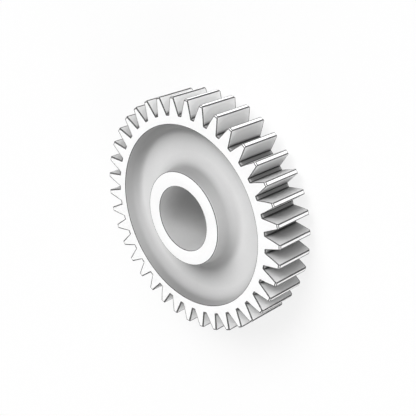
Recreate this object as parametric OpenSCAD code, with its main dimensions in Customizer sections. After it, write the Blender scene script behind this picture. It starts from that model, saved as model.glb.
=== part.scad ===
// Spur gear wheel in one piece: a toothed rim, a dished web and a plain bored hub.
// The wheel lies flat with its axis along Z, and the middle of its bore is the origin.
// The front (+Z) and the back (-Z) are alike. Sizes are in millimetres.

/* [Teeth] */
// Number of teeth, with one tooth centred on the +Y axis
tooth_count = 38; // [32:1:60]
// Module: the outside diameter is the module times two more than the number of teeth
tooth_module = 2; // [1.75:0.25:4]
// Depth of a tooth from tip to root, in modules
tooth_depth_modules = 2.9; // [2.25:0.05:3]
// Thickness of a tooth across its tip, in modules
tip_thick_modules = 0.68; // [0.4:0.02:0.9]
// Thickness of a tooth across its root, in modules
root_thick_modules = 2.12; // [1.6:0.02:2.2]
// How far the middle of a flank bulges out of the straight line from root to tip
flank_bow = 0.06; // [0:0.01:0.12]
// Radius in the corner where a flank meets the root land
root_fillet = 0.3; // [0.1:0.05:0.35]
// Chamfer on both ends of every tooth tip
tip_chamfer = 0.4; // [0.1:0.1:0.8]

/* [Rim] */
// Width of the toothed rim along the axis
face_width = 14.6; // [10:0.2:24]
// Metal between the tooth roots and the inner edge of the rim
rim_thick = 3.2; // [2:0.2:5]

/* [Hub] */
// Diameter of the bore
bore_d = 22; // [10:0.5:24]
// Metal round the bore
hub_wall = 5; // [3:0.5:6]
// How far the hub stands proud of the rim, on each side
hub_stand = 2; // [0.5:0.1:6]

/* [Web] */
// Thickness of the flat web between the hub and the rim
web_thick = 4.8; // [3:0.2:8]
// Slope of the walls above the web, in degrees from the axis
wall_draft = 8; // [0:1:20]
// Radius in the corner between the web and the hub
hub_fillet = 3.6; // [1:0.1:4]
// Radius in the corner between the web and the rim
rim_fillet = 3; // [1:0.1:4]

/* [Hidden] */

// Smoothness of the turned surfaces, and pieces in each small curve of a tooth gap
turned_fn = 180;
flank_steps = 4;
fillet_steps = 4;
root_steps = 2;
// How far a cutting shape runs past the metal that it cuts
over = 1;

tip_r = tooth_module*(tooth_count + 2)/2;
root_r = tip_r - tooth_depth_modules*tooth_module;
rim_inner_r = root_r - rim_thick;
bore_r = bore_d/2;
hub_r = bore_r + hub_wall;
hub_length = face_width + 2*hub_stand;
pitch_angle = 360/tooth_count;

// One flank, seen on a tooth that points along +Y
tip_half = tip_thick_modules*tooth_module/2;
root_half = root_thick_modules*tooth_module/2;
flank_foot = [root_half, sqrt(root_r^2 - root_half^2)];
flank_head = [tip_half, sqrt(tip_r^2 - tip_half^2)];
flank_length = norm(flank_head - flank_foot);

function turned(p, a) = [p.x*cos(a) - p.y*sin(a), p.x*sin(a) + p.y*cos(a)];
function mirrored(p) = [-p.x, p.y];

// Point of the flank at the share s of its height, and its direction there
function flank_point(s) = flank_foot + s*(flank_head - flank_foot) + [4*flank_bow*s*(1 - s), 0];
function flank_slope(s) = flank_head - flank_foot + [4*flank_bow*(1 - 2*s), 0];

// The same flank seen from the gap beside it, which points along +Y
foot = turned(flank_foot, pitch_angle/2);
foot_run = turned(flank_slope(0), pitch_angle/2);
along = foot_run/norm(foot_run);
across = [along.y, -along.x];

// The root fillet touches the flank and the root circle
fillet_base = foot + root_fillet*across;
fillet_lift = -fillet_base*along
    + sqrt((fillet_base*along)^2 + (root_r + root_fillet)^2 - fillet_base*fillet_base);
fillet_centre = fillet_base + fillet_lift*along;
fillet_from = atan2(-across.y, -across.x) + 360;
fillet_to = atan2(-fillet_centre.y, -fillet_centre.x) + 360;
land_half_angle = atan2(-fillet_centre.x, fillet_centre.y);

// Left side of a gap, from above the tip down to the root land
flank_from = fillet_lift/flank_length;
gap_side = concat(
    [turned(flank_point(1) + over*flank_slope(1)/flank_length, pitch_angle/2)],
    [for (i = [flank_steps:-1:0])
        turned(flank_point(flank_from + (1 - flank_from)*i/flank_steps), pitch_angle/2)],
    [for (i = [1:fillet_steps])
        let (a = fillet_from + (fillet_to - fillet_from)*i/fillet_steps)
        fillet_centre + root_fillet*[cos(a), sin(a)]]
);
gap_land = [for (i = [1:root_steps - 1])
    let (a = land_half_angle*(1 - 2*i/root_steps))
    turned([0, root_r], a)];
gap_outline = concat(
    gap_side,
    gap_land,
    [for (i = [len(gap_side) - 1:-1:0]) mirrored(gap_side[i])]
);

// Metal beside a sloping wall: the wall's foot, with a corner of radius fillet on the web.
// The wall's top edge is at x = 0, and it is height tall above the web at y = 0.
module wall_foot(fillet, height) {
    r = min(fillet, height/(1 - sin(wall_draft)));
    touch_y = r*(1 - sin(wall_draft));
    touch_x = (height - touch_y)*tan(wall_draft);
    web_x = touch_x + r*cos(wall_draft);
    difference() {
        polygon([
            [-over, -over],
            [web_x, -over],
            [web_x, 0],
            [touch_x, touch_y],
            [0, height],
            [-over, height]
        ]);
        translate([web_x, r])
            circle(r, $fn = turned_fn);
    }
}

module half_section() {
    web_top = web_thick/2;
    translate([bore_r, 0])
        square([hub_wall, hub_length/2]);
    translate([hub_r - over, 0])
        square([rim_inner_r - hub_r + 2*over, web_top]);
    polygon([
        [rim_inner_r, 0],
        [tip_r, 0],
        [tip_r, face_width/2 - tip_chamfer],
        [tip_r - tip_chamfer, face_width/2],
        [rim_inner_r, face_width/2]
    ]);
    translate([hub_r, web_top])
        wall_foot(hub_fillet, hub_length/2 - web_top);
    translate([rim_inner_r, web_top])
        mirror([1, 0])
            wall_foot(rim_fillet, face_width/2 - web_top);
}

module turned_blank() {
    rotate_extrude($fn = turned_fn) {
        half_section();
        mirror([0, 1])
            half_section();
    }
}

module tooth_gaps() {
    for (i = [0:tooth_count - 1])
        rotate([0, 0, (i + 0.5)*pitch_angle])
            translate([0, 0, -face_width/2 - over])
                linear_extrude(face_width + 2*over)
                    polygon(gap_outline);
}

module gear_wheel() {
    color([0.94, 0.94, 0.94])
        difference() {
            turned_blank();
            tooth_gaps();
        }
}

gear_wheel();
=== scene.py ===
# %% [markdown]
# # A moulded gear wheel
# The real part is a spur gear wheel in one piece of matt white plastic: a toothed rim, a web
# dished on both sides, and a plain hub with a bore. The CAD model of it is loaded first. It is
# the fixed frame for all that follows, so nothing made here may be larger than it.

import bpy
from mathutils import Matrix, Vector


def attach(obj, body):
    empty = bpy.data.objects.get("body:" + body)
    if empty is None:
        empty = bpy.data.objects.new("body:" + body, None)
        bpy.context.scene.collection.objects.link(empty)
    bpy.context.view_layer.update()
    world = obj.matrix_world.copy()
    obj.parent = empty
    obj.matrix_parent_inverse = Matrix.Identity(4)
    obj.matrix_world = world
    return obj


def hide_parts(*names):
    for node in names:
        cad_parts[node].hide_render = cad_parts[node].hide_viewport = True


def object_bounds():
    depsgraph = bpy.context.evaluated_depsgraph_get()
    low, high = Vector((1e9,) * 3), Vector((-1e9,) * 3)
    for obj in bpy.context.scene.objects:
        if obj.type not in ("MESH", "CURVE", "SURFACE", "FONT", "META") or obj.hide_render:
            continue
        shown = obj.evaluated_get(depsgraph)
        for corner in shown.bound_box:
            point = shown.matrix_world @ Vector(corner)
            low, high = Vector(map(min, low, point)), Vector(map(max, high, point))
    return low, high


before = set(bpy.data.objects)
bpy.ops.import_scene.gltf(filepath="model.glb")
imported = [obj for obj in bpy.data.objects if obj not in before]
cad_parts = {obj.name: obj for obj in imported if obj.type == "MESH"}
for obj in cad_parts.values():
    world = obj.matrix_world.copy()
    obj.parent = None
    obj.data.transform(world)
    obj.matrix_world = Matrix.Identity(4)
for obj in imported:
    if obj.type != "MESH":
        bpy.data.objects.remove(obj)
cad_low, cad_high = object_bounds()
print("CAD box, mm:", [round(1000*(b - a), 2) for a, b in zip(cad_low, cad_high)])

# %% Tools for the rest of the lesson
import math

import bmesh
import bpy
from mathutils import Matrix, Vector
from mathutils.bvhtree import BVHTree

MM = 0.001
print("Blender", bpy.app.version_string, "lengths in millimetres are multiplied by", MM)

# %% [markdown]
# ## Sizes of the wheel
# A gear is described by its number of teeth and its module, the pitch diameter divided by that
# number. The tip radius and the length of the hub are read from the frame, and the module
# follows from them. The rest are the part's own sizes in millimetres, so the new mesh lands
# exactly where the solid is. That solid has sharp edges and no finish: the new mesh adds the
# small edge breaks and the worn plastic.

# %% Sizes in millimetres
tooth_count = 38
tip_r = cad_high[1]/MM
module = 2*tip_r/(tooth_count + 2)
pitch_angle = 2*math.pi/tooth_count
tooth_depth = 2.9*module
tip_thick = 0.68*module
root_thick = 2.12*module
root_r = tip_r - tooth_depth
tip_half, root_half = tip_thick/2, root_thick/2
flank_bow = 0.06
root_fillet = 0.3
tip_chamfer = 0.4
print("module", round(module, 3), "tip radius", round(tip_r, 2), "root radius", round(root_r, 2))

# %% Sizes of rim, hub and web, in millimetres
half_hub = cad_high[2]/MM
hub_stand = 2.0
half_face = half_hub - hub_stand
rim_thick = 3.2
rim_inner_r = root_r - rim_thick
bore_width = 22.0
bore_r = bore_width/2
hub_wall = 5.0
hub_r = bore_r + hub_wall
web_thick = 4.8
half_web = web_thick/2
wall_draft = math.radians(8)
hub_fillet = 3.6
rim_fillet = 3.0
print("hub length", round(2*half_hub, 2), "rim width", round(2*half_face, 2),
      "rim opening", round(2*rim_inner_r, 2))

# %% [markdown]
# ## One tooth
# A tooth is narrow at its tip and wide at its root, and its flanks bulge a little. The outline
# is worked out for half a tooth, from the middle of the tip down to the middle of the gap, and
# mirrored. A boolean cut would give the same shape with untidy triangles. Placing the points
# one by one keeps every face a clean quad, and the small edge breaks need that.

# %% Points of a flank
foot = Vector((root_half, math.sqrt(root_r**2 - root_half**2)))
head = Vector((tip_half, math.sqrt(tip_r**2 - tip_half**2)))


def flank_point(share):
    """Point of the flank at a share of its height, on a tooth that points along +Y."""
    return foot + share*(head - foot) + Vector((4*flank_bow*share*(1 - share), 0))


def flank_share_at(radius):
    """Share of the flank's height where it crosses a circle round the bore."""
    low, high = 0.0, 1.0
    for halving in range(40):
        middle = (low + high)/2
        if flank_point(middle).length < radius:
            low = middle
        else:
            high = middle
    return low


chamfer_r = tip_r - tip_chamfer
chamfer_share = flank_share_at(chamfer_r)
chamfer_point = flank_point(chamfer_share)
print("tooth thickness, mm: tip", round(tip_thick, 2), "under the chamfer",
      round(2*chamfer_point.x, 2), "root", round(root_thick, 2))

# %% [markdown]
# The corner between a flank and the root land has a small fillet, which keeps a tooth from
# cracking off. A bevel could round it as well, but would only come near the true arc. Here the
# centre is worked out: it lies one fillet radius away from the flank and from the root circle.

# %% Corner at the root
corner_steps = 4
foot_run = (head - foot + Vector((4*flank_bow, 0))).normalized()
away = Vector((foot_run.y, -foot_run.x))
base = foot + root_fillet*away
along = base.dot(foot_run)
lift = -along + math.sqrt(along**2 + (root_r + root_fillet)**2 - base.length_squared)
corner_centre = base + lift*foot_run
touch_share = lift/(head - foot).length
start_angle = math.atan2(-away.y, -away.x)
end_angle = math.atan2(-corner_centre.y, -corner_centre.x)
if start_angle > 0:
    start_angle -= 2*math.pi
corner_points = []
for step in range(1, corner_steps + 1):
    angle = start_angle + (end_angle - start_angle)*step/corner_steps
    spoke = Vector((math.cos(angle), math.sin(angle)))
    corner_points.append(corner_centre + root_fillet*spoke)
land_start = math.atan2(corner_points[-1].x, corner_points[-1].y)
print("root corner turns through", round(math.degrees(abs(end_angle - start_angle))), "degrees")

# %% [markdown]
# Every point of the outline becomes one column of the mesh. A column knows where the wall of
# the gap stands, and where the flat face of the rim ends above it. The two differ only on the
# tip, where the chamfer cuts the face back. Copies of one finished tooth could be joined
# instead, but columns that run all the way round leave no seams to merge.

# %% Columns of half a tooth
flank_steps = 4


def polar(radius, angle):
    """Point at an angle from +Y towards +X."""
    return Vector((radius*math.sin(angle), radius*math.cos(angle)))


half_tooth = [(polar(tip_r, 0), polar(chamfer_r, 0)), (head, chamfer_point)]
for step in range(flank_steps + 1):
    point = flank_point(chamfer_share + (touch_share - chamfer_share)*step/flank_steps)
    half_tooth.append((point, point))
for point in corner_points + [polar(root_r, pitch_angle/2)]:
    half_tooth.append((point, point))
print("columns in half a tooth:", len(half_tooth), "root land starts at",
      round(math.degrees(land_start), 2), "degrees")


# %% All columns of the wheel
def flipped(point):
    """The same point on the other side of the tooth."""
    return Vector((-point.x, point.y))


def about_bore(point, angle):
    """Point turned about the bore, from +Y towards +X."""
    turn, lean = math.cos(angle), math.sin(angle)
    return Vector((point.x*turn + point.y*lean, point.y*turn - point.x*lean))


other_half = [(flipped(wall), flipped(face)) for wall, face in reversed(half_tooth[1:-1])]
columns = []
for tooth in range(tooth_count):
    for wall, face in other_half + half_tooth:
        columns.append((about_bore(wall, tooth*pitch_angle), about_bore(face, tooth*pitch_angle)))
even_step = 2*math.pi/len(columns)
even_angles = [(i - len(other_half))*even_step for i in range(len(columns))]
print("columns in all:", len(columns))

# %% [markdown]
# ## Section of the dish
# Between hub and rim the wheel is dished to a thin flat web, which saves plastic and lets the
# moulding cool evenly. The walls lean by a few degrees so that the part leaves its mould, and
# they run into the web in wide fillets. The section is a line of points, turned about the axis.
# A screw modifier would turn it too, but its rings wouldn't meet the columns of the teeth.

# %% Points down one wall of the dish
arc_steps = 8


def wall_section(edge_r, edge_z, fillet, outward):
    """Radius and height of points from the top edge of a wall down to the flat web."""
    height = edge_z - half_web
    radius = min(fillet, height/(1 - math.sin(wall_draft)))
    touch_y = radius*(1 - math.sin(wall_draft))
    web_x = (height - touch_y)*math.tan(wall_draft) + radius*math.cos(wall_draft)
    points = [(edge_r, edge_z)]
    for step in range(arc_steps + 1):
        angle = wall_draft + (math.pi/2 - wall_draft)*step/arc_steps
        x = web_x - radius*math.cos(angle)
        z = half_web + radius*(1 - math.sin(angle))
        points.append((edge_r + outward*x, z))
    return points


print("walls lean by", round(math.degrees(wall_draft)), "degrees, points in a fillet:", arc_steps + 1)

# %% The whole section
hub_side = wall_section(hub_r, half_hub, hub_fillet, 1)
rim_side = wall_section(rim_inner_r, half_face, rim_fillet, -1)
web_steps = 6
web_start, web_end = hub_side[-1][0], rim_side[-1][0]
web_width = web_end - web_start
web = [(web_start + web_width*step/web_steps, half_web) for step in range(1, web_steps)]
section = [(bore_r, half_hub)] + hub_side + web + list(reversed(rim_side))
print("points in the section:", len(section), "width of the flat web, mm:", round(web_width, 2))

# %% [markdown]
# ## Skin of the wheel
# Closed rings of corners run round the axis: out over the front, down the teeth, back in over
# the rear and through the bore. Quads join each ring to the next. Where two columns meet in
# one point, on the chamfer, the quad loses a corner or vanishes by itself. Lofting tools would
# make the same skin, but with less say over where each quad goes.

# %% Corners and rings
wheel_mesh = bmesh.new()
known_corners = {}


def corner_at(x, y, z):
    """The mesh corner at a place given in millimetres, made once."""
    key = (round(x, 5), round(y, 5), round(z, 5))
    if key not in known_corners:
        known_corners[key] = wheel_mesh.verts.new((x*MM, y*MM, z*MM))
    return known_corners[key]


def turned_ring(radius, z):
    """A circle of even corners, one for each column."""
    return [corner_at(*polar(radius, angle), z) for angle in even_angles]


def side_rings(side):
    """Rings of the front (1) or the rear (-1), from the bore out to the teeth."""
    rings = [turned_ring(r, side*z) for r, z in section]
    rings.append([corner_at(face.x, face.y, side*half_face) for wall, face in columns])
    return rings


def wall_ring(share):
    """Ring on the walls of the teeth, from the front (1) to the rear (-1)."""
    ends = [half_face - max(0, wall.length - chamfer_r) for wall, face in columns]
    return [corner_at(wall.x, wall.y, share*z) for (wall, face), z in zip(columns, ends)]


print("corners in each ring, at most:", len(columns))


# %% Quads from ring to ring
def join_rings(first, second):
    """Quads from one ring to the next."""
    for i in range(len(first)):
        loop = [first[i - 1], first[i], second[i], second[i - 1]]
        kept = [c for n, c in enumerate(loop) if c is not loop[n - 1]]
        if len(set(kept)) == len(kept) and len(kept) > 2:
            wheel_mesh.faces.new(kept)


wall_shares = (1, 0.85, 0.6, 0.3, 0, -0.3, -0.6, -0.85, -1)
bore_shares = (-0.8, -0.5, 0, 0.5, 0.8)
walls = [wall_ring(share) for share in wall_shares]
bore = [turned_ring(bore_r, share*half_hub) for share in bore_shares]
all_rings = side_rings(1) + walls + side_rings(-1)[::-1] + bore
for i in range(len(all_rings)):
    join_rings(all_rings[i - 1], all_rings[i])
bmesh.ops.recalc_face_normals(wheel_mesh, faces=wheel_mesh.faces)
print("rings:", len(all_rings), "faces:", len(wheel_mesh.faces),
      "open edges:", sum(not e.is_manifold for e in wheel_mesh.edges))

# %% [markdown]
# ## How open the surface is
# Shade is painted into the colour deep in the gaps between the teeth. To know how deep a place is,
# rays are sent out from it, and the share that leaves freely is counted. A shader node could do
# that too, but only with grain in each picture. All teeth are alike, so one half tooth of the front
# answers for the whole wheel.

# %% Fan of rays
ray_count = 160
far_reach, near_reach = 20*MM, 2*MM
lift_off = 0.02*MM
golden_turn = math.pi*(3 - math.sqrt(5))
sharp_tree = BVHTree.FromBMesh(wheel_mesh)
known_openness = {}
ray_fan = []
for n in range(ray_count):
    out = math.sqrt((n + 0.5)/ray_count)
    turn = n*golden_turn
    ray_fan.append(Vector((out*math.cos(turn), out*math.sin(turn), math.sqrt(1 - out*out))))
print("rays from each place:", ray_count)


# %% Openness of one place
def folded(vector, angle, swap, flip):
    """A place or a direction, brought to the front half of the first tooth."""
    flat = about_bore(vector.xy, -angle)
    return Vector((-flat.x if swap else flat.x, flat.y, -vector.z if flip else vector.z))


def openness(place, direction):
    """Share of rays that stay free for 20 mm, and share that stay free for 2 mm."""
    angle = math.atan2(place.x, place.y)
    turn_back = round(angle/pitch_angle)*pitch_angle
    swap, flip = angle < turn_back, place.z < 0
    at = folded(place, turn_back, swap, flip)
    normal = folded(direction, turn_back, swap, flip)
    key = tuple(round(v/MM, 1) for v in at) + tuple(round(v, 1) for v in normal)
    if key not in known_openness:
        aim = normal.to_track_quat("Z", "Y")
        start = at + normal*lift_off
        hits = [sharp_tree.ray_cast(start, aim @ ray, far_reach)[3] for ray in ray_fan]
        wide = sum(hit is None for hit in hits)/ray_count
        near = sum(hit is None or hit > near_reach for hit in hits)/ray_count
        known_openness[key] = (wide, near)
    return known_openness[key]


print("reach of the rays, mm:", round(far_reach/MM), "and", round(near_reach/MM))

# %% [markdown]
# ## Broken edges
# No real edge is a perfect line. A moulded and deburred edge has a tiny round, and that round
# is what catches grey from hands and from the mating wheel. Deburring by hand is never even:
# it took off more on one side of this wheel. The turned edges and the short ones round the tip
# chamfers lose less. Each round could be built into the outline, but the bevel modifier makes
# them all alike: it takes one width, and a weight on each edge scales it.

# %% Width of each edge break, in millimetres
widest_break = 0.53
narrowest_break = 0.26
least_broken_at = math.radians(57)
turned_break = 0.18
chamfer_break = 0.24
chamfer_share_of_width = 0.6
sharp_limit = math.radians(25)
hair, margin = 0.01, 0.1


def tooth_break(place):
    """Width of the break on a tooth, by its direction from the bore."""
    angle = math.atan2(place.x, place.y) - least_broken_at
    return narrowest_break + (widest_break - narrowest_break)*(1 - math.cos(angle))/2


def break_width(edge):
    """Width of the break on any edge."""
    nearest = min(v.co.xy.length for v in edge.verts)/MM
    level = min(abs(v.co.z) for v in edge.verts)/MM
    if nearest < root_r - margin:
        return turned_break
    width = tooth_break(edge.verts[0].co + edge.verts[1].co)
    beside_chamfer = nearest > chamfer_r - hair and level > half_face - tip_chamfer - hair
    return min(chamfer_share_of_width*width, chamfer_break) if beside_chamfer else width


weights = wheel_mesh.edges.layers.float.new("bevel_weight_edge")
sharp_edges = [edge for edge in wheel_mesh.edges if edge.calc_face_angle(0) > sharp_limit]
for edge in sharp_edges:
    edge[weights] = break_width(edge)/widest_break
print("edges to break:", len(sharp_edges), "of", len(wheel_mesh.edges))

# %% [markdown]
# Each finish gets a slot on the wheel: one for the moulded skin, one for the edge breaks, one
# for the flanks and root lands, which were cut after moulding, one for the small rounded corners
# at the root, and one for the wall of the bore. The wheel could be cut into five objects
# instead, but one closed skin stays watertight. The slots are still empty here. The bevel needs
# to know only the number of the one that its new faces go to.

# %% The sharp wheel as an object
slot_count = 5
skin_slot, break_slot, cut_slot, corner_slot, bore_slot = range(slot_count)
sharp_data = bpy.data.meshes.new("sharp_wheel")
wheel_mesh.to_mesh(sharp_data)
wheel_mesh.free()
for slot in range(slot_count):
    sharp_data.materials.append(None)
sharp_wheel = bpy.data.objects.new("sharp_wheel", sharp_data)
bpy.context.scene.collection.objects.link(sharp_wheel)
print("sharp faces:", len(sharp_data.polygons), "slots:", len(sharp_data.materials))

# %% Break the edges
edge_break = sharp_wheel.modifiers.new("edge_break", "BEVEL")
edge_break.limit_method = "WEIGHT"
edge_break.width = widest_break*MM
edge_break.segments = 2
edge_break.profile = 0.75
edge_break.use_clamp_overlap = False
edge_break.material = break_slot
broken = sharp_wheel.evaluated_get(bpy.context.evaluated_depsgraph_get())
wheel_data = bpy.data.meshes.new_from_object(broken)
wheel_data.name = "toothed_wheel"
bpy.data.objects.remove(sharp_wheel)
print("faces:", len(wheel_data.polygons), "of them on edge breaks:",
      sum(face.material_index == break_slot for face in wheel_data.polygons))

# %% [markdown]
# The other faces are told apart by how far they lie from the axis and by the way they look. The
# ends of the teeth, the chamfers and the flat web look along the axis, and keep the skin. Faces
# could be picked by hand too, but a rule finds them again when a size changes.

# %% Finish of a face
corner_top = flank_point(touch_share).length
just_over_root = root_r + 0.002
looks_along_axis = 0.3


def finish_of(face):
    """Slot of the finish of a face, by its place and by the way it looks."""
    from_axis = face.calc_center_median().xy.length/MM
    if face.material_index == break_slot or abs(face.normal.z) > looks_along_axis:
        return face.material_index
    if from_axis < bore_r + margin:
        return bore_slot
    if just_over_root < from_axis < corner_top:
        return corner_slot
    return cut_slot if root_r - margin < from_axis < tip_r - margin else skin_slot


print("rounded corners reach up to radius", round(corner_top, 2))

# %% [markdown]
# Now every face gets its slot, and every corner of a cut face its two shares of free rays. Only
# the cut faces need them. They are kept on the corners of the faces, not on the points, so the
# painted shade can make a flank dark at the root while the face that meets it there stays pale.

# %% Finish of every face, and openness of every corner of the teeth
smooth_limit = math.radians(15)
wheel_mesh = bmesh.new()
wheel_mesh.from_mesh(wheel_data)
wheel_mesh.normal_update()
open_wide, open_near = [], []
for face in wheel_mesh.faces:
    face.material_index = finish_of(face)
    face.smooth = True
    for vertex in face.verts:
        wide, near = 1.0, 1.0
        if face.material_index == cut_slot:
            curved = face.normal.angle(vertex.normal, 0) < smooth_limit
            wide, near = openness(vertex.co, vertex.normal if curved else face.normal)
        open_wide.append(wide)
        open_near.append(near)
print("places measured:", len(known_openness), "most closed:", round(min(open_wide), 2),
      "open edges:", sum(not e.is_manifold for e in wheel_mesh.edges))

# %% [markdown]
# ## The wheel as an object
# The mesh becomes one object that rides on the root of the frame and stands in for the CAD
# wheel. A subdivision surface could smooth its curves, but would round off the flat faces too.
# Instead the shading follows the large faces, so they look flat right up to their edges.

# %% The wheel as an object
wheel_mesh.to_mesh(wheel_data)
wheel_mesh.free()
for name, values in (("open_wide", open_wide), ("open_near", open_near)):
    wheel_data.attributes.new(name, "FLOAT", "CORNER").data.foreach_set("value", values)
wheel = bpy.data.objects.new("toothed_wheel", wheel_data)
bpy.context.scene.collection.objects.link(wheel)
even_shading = wheel.modifiers.new("even_shading", "WEIGHTED_NORMAL")
even_shading.mode = "FACE_AREA"
even_shading.weight = 80
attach(wheel, "root")
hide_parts("gear_wheel")
print("wheel size, mm:", [round(d/MM, 2) for d in wheel.dimensions],
      "triangles:", sum(len(f.vertices) - 2 for f in wheel_data.polygons))

# %% [markdown]
# ## The plastic
# Matt white plastic is not one flat colour. It has a faint cloudiness from the way it flowed
# into the mould, tiny specks, and fine rings on the faces that were skimmed on a lathe. On top of
# that, shade is painted into the colour: darker in the hollows and deep in the gaps, and darker on
# faces that look up or down than on those that look sideways. All of it is worked out from the
# position on the part and the way a face looks, so it holds from every side. A painted image would
# show seams and blur in a close view.

# %% Helpers for node trees
noise_low, noise_high = 0.3, 0.7


def add_node(tree, kind, inputs=None, **settings):
    """Adds a node, with its settings and with values or links for its inputs."""
    node = tree.nodes.new(kind)
    for name, value in settings.items():
        setattr(node, name, value)
    for key, value in (inputs or {}).items():
        if isinstance(value, bpy.types.NodeSocket):
            tree.links.new(value, node.inputs[key])
        else:
            node.inputs[key].default_value = value
    return node


def math_node(tree, operation, first, second=0.0):
    """One step of arithmetic in a node tree."""
    return add_node(tree, "ShaderNodeMath", {0: first, 1: second}, operation=operation).outputs[0]


def noise(tree, place, scale, detail, roughness):
    """Cloudy noise about 0.5, at a number of waves in a metre."""
    node = add_node(tree, "ShaderNodeTexNoise", {
        "Vector": place, "Scale": scale, "Detail": detail, "Roughness": roughness})
    return node.outputs[0]


def spread(tree, value, low, high):
    """Turns the middle range of a noise into the range from low to high."""
    node = add_node(tree, "ShaderNodeMapRange", {
        "Value": value, "From Min": noise_low, "From Max": noise_high,
        "To Min": low, "To Max": high})
    return node.outputs[0]


print("middle range of a noise:", noise_low, "to", noise_high)

# %% [markdown]
# ### Painted shade
# Shade is painted into the colour as a grey that darkens the plastic and leaves its clouds to
# be seen, so it multiplies the colour. Its tones could be painted on the points of the mesh, but
# they would be as coarse as the mesh is. A ramp passes softly from tone to tone along any measure
# from 0 to 1. Here that is the distance from the axis, as a share of the tip radius, or an
# openness from the rays.

# %% Distance from the axis
def axis_distance(tree, place):
    """Distance from the axis of the wheel, and the height along it."""
    x, y, z = add_node(tree, "ShaderNodeSeparateXYZ", {0: place}).outputs
    squares = [math_node(tree, "MULTIPLY", side, side) for side in (x, y)]
    return math_node(tree, "SQRT", math_node(tree, "ADD", *squares)), z


def measure_of(tree, kind, radius):
    """A measure from 0 to 1: the share of the tip radius, or an openness kept in the mesh."""
    if kind == "radius":
        return math_node(tree, "DIVIDE", radius, tip_r*MM)
    return add_node(tree, "ShaderNodeAttribute", attribute_name=kind).outputs["Fac"]


# %% Painted shade that follows a measure
def under_painted_shade(tree, colour, measure, tones):
    """A colour darkened by painted shade, whose tones are given along a measure from 0 to 1."""
    ramp = add_node(tree, "ShaderNodeValToRGB", {0: measure})
    ramp.color_ramp.interpolation = "EASE"
    for position, tone in tones:
        ramp.color_ramp.elements.new(position).color = (tone, tone, tone, 1)
    ramp.color_ramp.elements.remove(ramp.color_ramp.elements[0])
    mix = add_node(tree, "ShaderNodeMix", {"Factor": 1.0, 6: colour, 7: ramp.outputs[0]},
                   data_type="RGBA", blend_type="MULTIPLY")
    return mix.outputs[2]


# %% [markdown]
# ### Shade on what looks up or down
# The way a face looks is a direction of length 1, and its part along Y, squared, is 1 on faces
# that look straight up or down and 0 on those that look sideways. Painted shade takes the colour
# down by a share of that. A plain mask for what looks up would leave out the faces that look down.

# %% Painted shade on what looks up or down
def under_painted_updown_shade(tree, colour, normal, amount):
    """A colour darkened by painted shade, by how far a face looks along Y, up or down."""
    height = add_node(tree, "ShaderNodeSeparateXYZ", {0: normal}).outputs[1]
    square = math_node(tree, "MULTIPLY", height, height)
    left = math_node(tree, "SUBTRACT", 1.0, math_node(tree, "MULTIPLY", square, amount))
    mix = add_node(tree, "ShaderNodeMix", {"Factor": 1.0, 6: colour, 7: left},
                   data_type="RGBA", blend_type="MULTIPLY")
    return mix.outputs[2]


# %% [markdown]
# ### Clouds, specks and rings
# Clouds are a slow noise and specks a fast one, both in space, so they have no seams. For the
# rings the noise is read by the radius, with very little of the height, and so runs round the
# axis as the tool of a lathe does. Rings cut into the mesh would look alike, at the cost of
# millions of faces.

# %% Clouds, specks and turning rings
cloud_waves, speck_waves, ring_waves = 55.0, 1400.0, 2600.0
cloud_share, ring_share = 0.55, 0.6
ring_stretch = 0.15


def blended(tree, first, second, share):
    """A share of the first value, and the rest from the second."""
    return math_node(tree, "ADD", math_node(tree, "MULTIPLY", first, share),
                     math_node(tree, "MULTIPLY", second, 1 - share))


def patterns(tree, place, radius, height):
    """Mottle for the colour, rings for the roughness, and relief for the bump."""
    clouds = noise(tree, place, cloud_waves, 5.0, 0.6)
    specks = noise(tree, place, speck_waves, 3.0, 0.7)
    along = math_node(tree, "MULTIPLY", height, ring_stretch)
    groove = add_node(tree, "ShaderNodeCombineXYZ", {0: radius, 1: along})
    rings = noise(tree, groove.outputs[0], ring_waves, 2.0, 0.5)
    mottle = blended(tree, clouds, specks, cloud_share)
    return mottle, rings, blended(tree, rings, specks, ring_share)


print("sizes, mm: clouds", round(1/(cloud_waves*MM), 1), "specks", round(1/(speck_waves*MM), 1),
      "rings", round(1/(ring_waves*MM), 1))

# %% [markdown]
# ### One recipe
# The wheel is one plastic in five states. Five node trees could be built one by one, but then a
# change would have to be made five times. One recipe takes what differs: two greys, the painted
# shades, the range of roughness, and the painted shade by up or down with the radius it ends at.

# %% One recipe for the plastic in all its states
refraction, shine = 1.48, 0.4
bump_strength, bump_depth = 0.25, 0.03*MM
matt = (0.5, 0.62)


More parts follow.
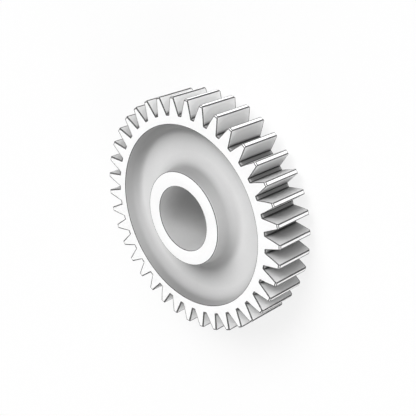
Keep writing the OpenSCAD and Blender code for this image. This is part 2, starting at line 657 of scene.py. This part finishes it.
def plastic(name, pale, dull, painted_shade_ramps=(), rough=matt, updown_shade_amount=0.0, updown_shade_radius=tip_r):
    """Matt plastic between a pale and a duller grey, under its painted shades."""
    material = bpy.data.materials.new(name)
    material.use_nodes = True
    tree = material.node_tree
    shader = tree.nodes["Principled BSDF"]
    coordinates = add_node(tree, "ShaderNodeTexCoord").outputs
    radius, height = axis_distance(tree, coordinates["Object"])
    mottle, rings, relief = patterns(tree, coordinates["Object"], radius, height)
    colour = add_node(tree, "ShaderNodeMix", {
        "Factor": spread(tree, mottle, 0.0, 1.0),
        6: (dull, dull, dull, 1), 7: (pale, pale, pale, 1)}, data_type="RGBA").outputs[2]
    for kind, tones in painted_shade_ramps:
        colour = under_painted_shade(tree, colour, measure_of(tree, kind, radius), tones)
    # Painted shade: faces inside the given radius that look up or down are darkened.
    if updown_shade_amount:
        inside = math_node(tree, "LESS_THAN", radius, updown_shade_radius*MM)
        amount = math_node(tree, "MULTIPLY", inside, updown_shade_amount)
        colour = under_painted_updown_shade(tree, colour, coordinates["Normal"], amount)
    bump = add_node(tree, "ShaderNodeBump", {
        "Height": relief, "Strength": bump_strength, "Distance": bump_depth})
    tree.links.new(colour, shader.inputs["Base Color"])
    tree.links.new(spread(tree, rings, *rough), shader.inputs["Roughness"])
    tree.links.new(bump.outputs[0], shader.inputs["Normal"])
    shader.inputs["IOR"].default_value = refraction
    shader.inputs["Specular IOR Level"].default_value = shine
    return material


print("roughness:", matt[0], "to", matt[1], "relief, mm:", round(bump_depth/MM, 3))

# %% [markdown]
# ### Moulded skin
# The rim and hub faces keep the plain colour. In the dish, shade is painted into the colour:
# light on the open web and dark on the walls. It could be painted on by hand, but tones that go
# by the distance from the axis stay true all the way round, and jump only at the edge breaks,
# where one face ends.

# %% Moulded skin
unshaded_tone = 1.0
hub_wall_shade = 0.59
web_shade = 0.755
rim_wall_shade = 0.505
hub_wall_end = hub_r + 2.0
web_clear_from, web_clear_to = web_start + 0.9, web_end - 1.2
rim_wall_from = rim_inner_r - 1.2
step_in, step_out = 0.04, 0.06
# Painted shade in the dish: dark on the hub and rim walls, lighter on the web, none outside it.
dish_shade_tones = [
    (hub_r - step_out, unshaded_tone), (hub_r - step_in, hub_wall_shade),
    (hub_wall_end, hub_wall_shade), (web_clear_from, web_shade),
    (web_clear_to, web_shade), (rim_wall_from, rim_wall_shade),
    (rim_inner_r + step_in, rim_wall_shade), (rim_inner_r + step_out, unshaded_tone)]
skin_shade_ramp = [(r/tip_r, tone) for r, tone in dish_shade_tones]
# The skin also gets painted shade on faces inside the rim that look up or down.
skin = plastic("matt_white_plastic", 0.95, 0.90, [("radius", skin_shade_ramp)],
               updown_shade_amount=0.56, updown_shade_radius=rim_inner_r)
print("skin: tones of", rim_wall_shade, "to", web_shade, "in the dish")

# %% [markdown]
# ### Wall of the bore
# The bore is a deep hole, so shade is painted into its colour evenly along its length, and more
# where it looks up or down. It is one plain wall, so it gets a finish of its own, greyer than the
# skin, with the same clouds and rings.

# %% Wall of the bore
# Painted shade: greyer than the skin, darker where the wall looks up or down.
bore_wall = plastic("bore_wall", 0.64, 0.59, updown_shade_amount=0.32)
print("bore wall:", bore_wall.name)

# %% [markdown]
# ### Rubbed edges
# The edge breaks hold the most dirt: graphite and dust from the mating wheel, pressed into the
# rounded plastic. They draw every outline of the wheel as a thin dark line, as in the picture.
# A mask on the sharpness of the mesh would smear over the faces beside them. The edge breaks
# are faces of their own, so a finish of their own keeps the line narrow.

# %% Rubbed edges
rubbed = plastic("rubbed_edge", 0.11, 0.01, rough=(0.4, 0.6))
print("rubbed edge:", rubbed.name)

# %% [markdown]
# ### Flanks and root lands
# Shade is painted into the cut faces: they darken the deeper they lie in a gap. A ramp by radius
# would darken both ends of a tooth as much as its middle. So the first painted shade follows the
# wide openness down the flank, and the second one the narrow places at the root.

# %% Flanks and root lands
# Painted shade on the flanks and root lands, by openness, and by up or down.
tooth_shade_tones = ((0.25, 0.72), (0.57, 0.79), (0.65, 0.89), (0.85, 1.0))
root_shade_tones = ((0.58, 0.06), (0.75, 0.74), (0.88, 1.0))
tooth_shade_ramps = [("open_wide", tooth_shade_tones), ("open_near", root_shade_tones)]
cut = plastic("cut_teeth", 0.98, 0.91, tooth_shade_ramps, updown_shade_amount=0.5)
print("flanks: tones of", tooth_shade_tones[0][1], "to", tooth_shade_tones[-1][1])

# %% [markdown]
# ### Shaded corners
# The small rounded corners beside each root land are coloured near black: painted shade in the
# deepest corners of each gap. They show as a thin dark line along every gap. The corners are
# narrow faces already, so a darker finish on them is all that is needed.

# %% Shaded corners
# Painted shade: near black on the rounded corners at the root.
shaded_corners = plastic("root_corner_shade", 0.08, 0.03, rough=(0.55, 0.7))
finishes = {skin_slot: skin, break_slot: rubbed, cut_slot: cut, corner_slot: shaded_corners,
            bore_slot: bore_wall}
for slot, finish in finishes.items():
    wheel_data.materials[slot] = finish
print("finishes:", [m.name for m in wheel_data.materials])

# %% [markdown]
# ## Floor
# The wheel lies on its rear hub face on a plain white table. A curved backdrop would do as
# well, but the camera looks down, so a flat table fills the view. It takes the shadow of the
# wheel, and shows as nearly pure white to the camera, as in the picture.

# %% Floor
reach = 3.0
floor_z = -half_hub*MM
floor_data = bpy.data.meshes.new("table_top")
floor_corners = [(x*reach, y*reach, floor_z) for x, y in ((-1, -1), (1, -1), (1, 1), (-1, 1))]
floor_data.from_pydata(floor_corners, [], [(0, 1, 2, 3)])
floor = bpy.data.objects.new("table_top", floor_data)
bpy.context.scene.collection.objects.link(floor)
print("table top at z, mm:", round(floor_z/MM, 2))

# %% [markdown]
# ### White paper
# The picture has a pure white ground. Lamps that are bright enough to whiten the paper would
# wash out the wheel as well. So the paper tells rays apart: to the eye it is mostly plain white,
# and to rays that carry light it is matt paper.

# %% White paper
def seen_directly(tree):
    """1 for rays that reach the eye straight or by a mirror, 0 for rays that carry light."""
    rays = add_node(tree, "ShaderNodeLightPath").outputs
    either = math_node(tree, "MAXIMUM", rays["Is Camera Ray"], rays["Is Glossy Ray"])
    return math_node(tree, "MAXIMUM", either, rays["Is Transmission Ray"])


paper = bpy.data.materials.new("white_paper")
paper.use_nodes = True
tree = paper.node_tree
surface = tree.nodes["Principled BSDF"]
surface.inputs["Base Color"].default_value = (0.92, 0.92, 0.92, 1)
surface.inputs["Roughness"].default_value = 0.9
white = add_node(tree, "ShaderNodeEmission", {"Color": (1, 1, 1, 1), "Strength": 1.0})
whiteness = 0.8
share = math_node(tree, "MULTIPLY", seen_directly(tree), whiteness)
blend = add_node(tree, "ShaderNodeMixShader",
                 {0: share, 1: surface.outputs[0], 2: white.outputs[0]})
tree.links.new(blend.outputs[0], tree.nodes["Material Output"].inputs["Surface"])
floor_data.materials.append(paper)
print("paper nodes:", len(tree.nodes))

# %% [markdown]
# ## Room
# A plain white room gives light from all round, so no side of the wheel goes black. Walls
# could be built for that, but a world colour does it without any faces. To the camera the room
# is pure white.

# %% Room
room_strength = 0.2
world = bpy.data.worlds.new("white_studio")
bpy.context.scene.world = world
world.use_nodes = True
tree = world.node_tree
room = tree.nodes["Background"]
room.inputs["Color"].default_value = (1, 1, 1, 1)
room.inputs["Strength"].default_value = room_strength
seen = add_node(tree, "ShaderNodeBackground", {"Color": (1, 1, 1, 1), "Strength": 1.0})
choice = add_node(tree, "ShaderNodeMixShader",
                  {0: seen_directly(tree), 1: room.outputs[0], 2: seen.outputs[0]})
tree.links.new(choice.outputs[0], tree.nodes["World Output"].inputs["Surface"])
print("room strength:", room_strength)

# %% [markdown]
# ## Lamps
# The picture is lit from its top, softly, with weaker light from low down on three sides.
# Panels close to the wheel would light its near side more than the far one. Wide far lamps
# shine evenly over the whole wheel, with soft shadows.

# %% Lamps
def soft_lamp(name, strength, azimuth, elevation, width=35):
    """A wide far lamp, placed by degrees round from +X and degrees above the table."""
    a, e = math.radians(azimuth), math.radians(elevation)
    towards = Vector((math.cos(a)*math.cos(e), math.sin(a)*math.cos(e), math.sin(e)))
    data = bpy.data.lights.new(name, "SUN")
    data.energy = strength
    data.angle = math.radians(width)
    lamp = bpy.data.objects.new(name, data)
    lamp.rotation_mode = "QUATERNION"
    lamp.rotation_quaternion = towards.to_track_quat("Z", "Y")
    bpy.context.scene.collection.objects.link(lamp)
    return lamp


lamps = [
    soft_lamp("key_lamp", 2.8, 95, 41),
    soft_lamp("side_lamp", 0.5, 56, 35),
    soft_lamp("low_right_lamp", 1.1, 318, 14),
    soft_lamp("low_near_lamp", 0.7, 258, 12),
    soft_lamp("low_top_lamp", 0.65, 78, 12),
]
print("lamps:", {lamp.name: round(lamp.data.energy, 2) for lamp in lamps})

# %% [markdown]
# ## Camera
# The camera sees the wheel as the picture does: from its front and right, with the wheel's
# axis pointing down to the left. A constraint could aim it, but not roll it. It is turned
# sideways and raised about the wheel, and its own directions place it and set its roll.

# %% Camera
camera_data = bpy.data.cameras.new("camera")
camera_data.lens = 50
camera_data.sensor_width = 24
camera_data.sensor_fit = "HORIZONTAL"
camera_data.clip_start = 0.01
camera = bpy.data.objects.new("camera", camera_data)
sideways, raised = math.radians(45), math.radians(25)
right = Vector((math.cos(sideways), 0, -math.sin(sideways)))
level = Vector((math.sin(sideways), 0, math.cos(sideways)))
back = level*math.cos(raised) + Vector((0, math.sin(raised), 0))
up = back.cross(right)
facing = Matrix((right, up, back)).transposed().to_4x4()
distance, aside, above = 287.7607*MM, 1.7395*MM, 0.7471*MM
place = distance*back + aside*right + above*up
camera.matrix_world = Matrix.Translation(place) @ facing
bpy.context.scene.collection.objects.link(camera)
bpy.context.scene.camera = camera
bpy.context.scene.view_settings.view_transform = "Standard"
print("camera distance, mm:", round(camera.matrix_world.translation.length/MM))
